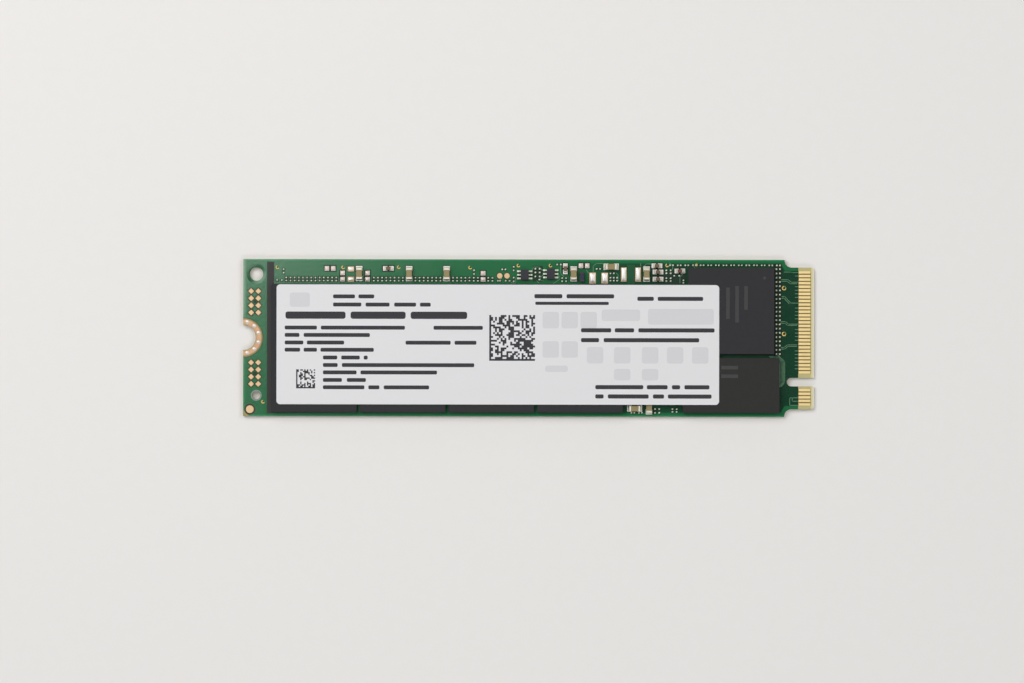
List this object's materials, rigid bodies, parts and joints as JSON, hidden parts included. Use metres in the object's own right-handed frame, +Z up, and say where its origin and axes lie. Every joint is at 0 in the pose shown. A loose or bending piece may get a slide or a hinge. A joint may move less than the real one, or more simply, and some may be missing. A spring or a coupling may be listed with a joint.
{
  "type": "solid state drive card",
  "caption": "Slim plug-in solid state drive card: green board with keyed gold edge contacts, half-round mounting notch, black memory packages on solder balls and a plain white label.",
  "frame": {"origin": "middle of the card's footprint, on the surface that it lies on", "axes": "+X along the card towards its plug edge, +Y across it, +Z up from its underside"},
  "size_m": [0.08, 0.022, 0.0021],
  "materials": {
    "solder_mask": "semi-gloss green solder mask over glass laminate",
    "gold_plating": "thin gold over copper, slightly satin",
    "solder": "bright tinned solder",
    "black_ink": "printed black ink",
    "label_film": "white satin label with plain printed blocks",
    "flash_mould": "moulded black compound, matte",
    "chip_mould": "moulded black compound, matte",
    "cache_mould": "moulded black compound, matte, a little warmer",
    "chip_ceramic": "tan sintered ceramic with tinned ends",
    "fuse_body": "dark blue moulded chip",
    "inductor_body": "grey pressed powder block with tinned ends",
    "crystal_lid": "thin metal lid on a ceramic base"
  },
  "bodies": {
    "root": {"cache_memory": "cache_mould", "cache_memory_solder_balls": "solder", "capacitor_1": "chip_ceramic", "capacitor_2": "chip_ceramic", "capacitor_3": "chip_ceramic", "capacitor_4": "chip_ceramic", "capacitor_5": "chip_ceramic", "capacitor_6": "chip_ceramic", "capacitor_7": "chip_ceramic", "capacitor_8": "chip_ceramic", "capacitor_lands": "solder", "chip_fuse": "fuse_body", "circuit_board": "solder_mask", "clock_crystal": "crystal_lid", "controller": "chip_mould", "controller_lands": "solder", "controller_solder_balls": "solder", "edge_contacts_bottom": "gold_plating", "edge_contacts_top": "gold_plating", "fiducial_pad": "gold_plating", "flash_lands": "solder", "flash_memory_1": "flash_mould", "flash_memory_1_solder_balls": "solder", "flash_memory_2": "flash_mould", "flash_memory_2_solder_balls": "solder", "flash_memory_3": "flash_mould", "flash_memory_3_solder_balls": "solder", "flash_memory_4": "flash_mould", "flash_memory_4_solder_balls": "solder", "inductor_1": "inductor_body", "inductor_2": "inductor_body", "inductor_3": "inductor_body", "ink_band": "black_ink", "label": "label_film", "mount_plating": "gold_plating", "mount_vias": "solder", "power_chip": "chip_mould", "power_lands": "solder", "power_switch_1": "chip_mould", "power_switch_1_leads": "solder", "power_switch_2": "chip_mould", "power_switch_2_leads": "solder", "probe_pads": "gold_plating", "small_capacitor_1": "chip_ceramic", "small_capacitor_2": "chip_ceramic", "small_capacitor_3": "chip_ceramic", "small_capacitor_4": "chip_ceramic", "small_capacitor_5": "chip_ceramic", "small_capacitor_6": "chip_ceramic", "small_lands": "solder", "test_points": "gold_plating"}
  },
  "joints": []
}
